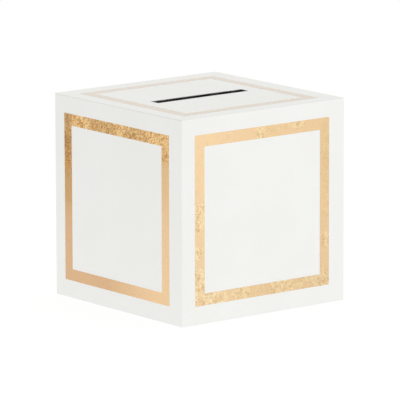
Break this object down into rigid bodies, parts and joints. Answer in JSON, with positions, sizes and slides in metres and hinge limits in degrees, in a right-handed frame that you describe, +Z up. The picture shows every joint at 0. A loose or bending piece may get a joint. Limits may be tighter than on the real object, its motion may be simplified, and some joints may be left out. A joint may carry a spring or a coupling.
{
  "type": "wedding card box",
  "caption": "Cube-shaped white folding carton with a slotted tuck-top lid, snap-lock bottom and gold foil frames, for collecting cards and envelopes.",
  "frame": {"origin": "centre of the box on the plane it stands on", "axes": "+Z up, -Y towards the front panel where the lid tucks in, +Y towards the back panel that the lid is hinged to, +X to the right as seen from the front"},
  "size_m": [0.2542, 0.2542, 0.2541],
  "materials": {
    "front_panel": "white coated board, satin",
    "right_panel": "white coated board, satin",
    "back_panel": "white coated board, satin",
    "left_panel": "white coated board, satin",
    "front_foil_frame": "hot-stamped gold foil with fine crackle",
    "right_foil_frame": "hot-stamped gold foil with fine crackle",
    "back_foil_frame": "hot-stamped gold foil with fine crackle",
    "left_foil_frame": "hot-stamped gold foil with fine crackle",
    "seam_glue_tab": "uncoated board",
    "bottom_flap_front": "white coated board, satin",
    "bottom_flap_left": "white coated board, satin",
    "bottom_flap_right": "white coated board, satin",
    "bottom_flap_back": "white coated board, satin",
    "lid_panel": "white coated board, satin",
    "lid_foil_frame": "hot-stamped gold foil with fine crackle",
    "lid_tuck_flap": "white coated board, satin",
    "left_dust_flap": "white coated board, satin",
    "right_dust_flap": "white coated board, satin"
  },
  "bodies": {
    "sleeve": {"front_panel": "front_panel", "right_panel": "right_panel", "back_panel": "back_panel", "left_panel": "left_panel", "front_foil_frame": "front_foil_frame", "right_foil_frame": "right_foil_frame", "back_foil_frame": "back_foil_frame", "left_foil_frame": "left_foil_frame", "seam_glue_tab": "seam_glue_tab", "bottom_flap_front": "bottom_flap_front", "bottom_flap_left": "bottom_flap_left", "bottom_flap_right": "bottom_flap_right", "bottom_flap_back": "bottom_flap_back"},
    "lid": {"lid_panel": "lid_panel", "lid_foil_frame": "lid_foil_frame"},
    "tuck_flap": {"lid_tuck_flap": "lid_tuck_flap"},
    "left_dust": {"left_dust_flap": "left_dust_flap"},
    "right_dust": {"right_dust_flap": "right_dust_flap"}
  },
  "joints": [
    {"name": "lid_hinge", "type": "hinge", "parent": "sleeve", "child": "lid", "pos_m": [0, 0.1266, 0.2536], "axis": [-1, 0, 0], "range_deg": [0, 180]},
    {"name": "tuck_flap_crease", "type": "hinge", "parent": "lid", "child": "tuck_flap", "pos_m": [0, -0.1255, 0.2536], "axis": [1, 0, 0], "range_deg": [0, 50]},
    {"name": "left_dust_flap_crease", "type": "hinge", "parent": "sleeve", "child": "left_dust", "pos_m": [-0.1266, 0, 0.25274], "axis": [0, -1, 0], "range_deg": [0, 90]},
    {"name": "right_dust_flap_crease", "type": "hinge", "parent": "sleeve", "child": "right_dust", "pos_m": [0.1266, 0, 0.25274], "axis": [0, 1, 0], "range_deg": [0, 90]}
  ],
  "couplings": [
    {"joint": "left_dust_flap_crease", "follows": "lid_hinge", "ratio": 0.5},
    {"joint": "right_dust_flap_crease", "follows": "lid_hinge", "ratio": 0.5}
  ]
}
